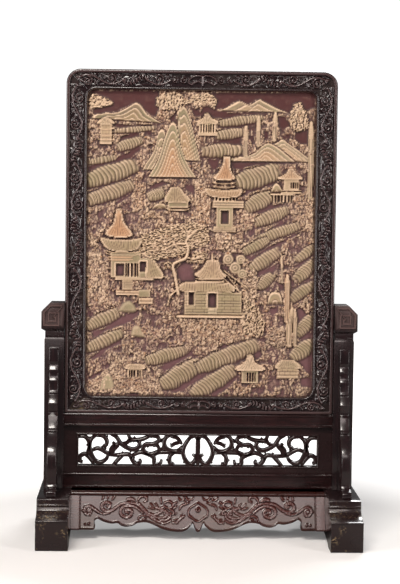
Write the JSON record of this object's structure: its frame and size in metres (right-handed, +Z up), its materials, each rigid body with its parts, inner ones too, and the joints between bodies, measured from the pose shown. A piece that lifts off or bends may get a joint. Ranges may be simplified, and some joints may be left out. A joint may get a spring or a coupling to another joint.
{
  "type": "stone table screen",
  "caption": "Upright stone panel carved with a landscape, in a carved dark wood frame that rests between the posts of a wooden stand with openwork, aprons and sledge feet.",
  "frame": {"origin": "on the floor, in the middle of the screen's footprint", "axes": "+X to the right seen from the front, -Y to the front, +Z up"},
  "size_m": [0.4482, 0.26, 0.6601],
  "materials": {
    "carved_stone": "matte",
    "dark_rosewood": "satin"
  },
  "bodies": {
    "root": {"stone_panel": "carved_stone", "frame_top_rail": "dark_rosewood", "frame_bottom_rail": "dark_rosewood", "frame_left_stile": "dark_rosewood", "frame_right_stile": "dark_rosewood", "post_left": "dark_rosewood", "post_right": "dark_rosewood", "spandrel_left_front": "dark_rosewood", "spandrel_left_back": "dark_rosewood", "spandrel_right_front": "dark_rosewood", "spandrel_right_back": "dark_rosewood", "foot_left": "dark_rosewood", "foot_right": "dark_rosewood", "upper_rail": "dark_rosewood", "lower_rail": "dark_rosewood", "openwork_panel": "dark_rosewood", "apron_front": "dark_rosewood", "apron_back": "dark_rosewood"}
  },
  "joints": []
}
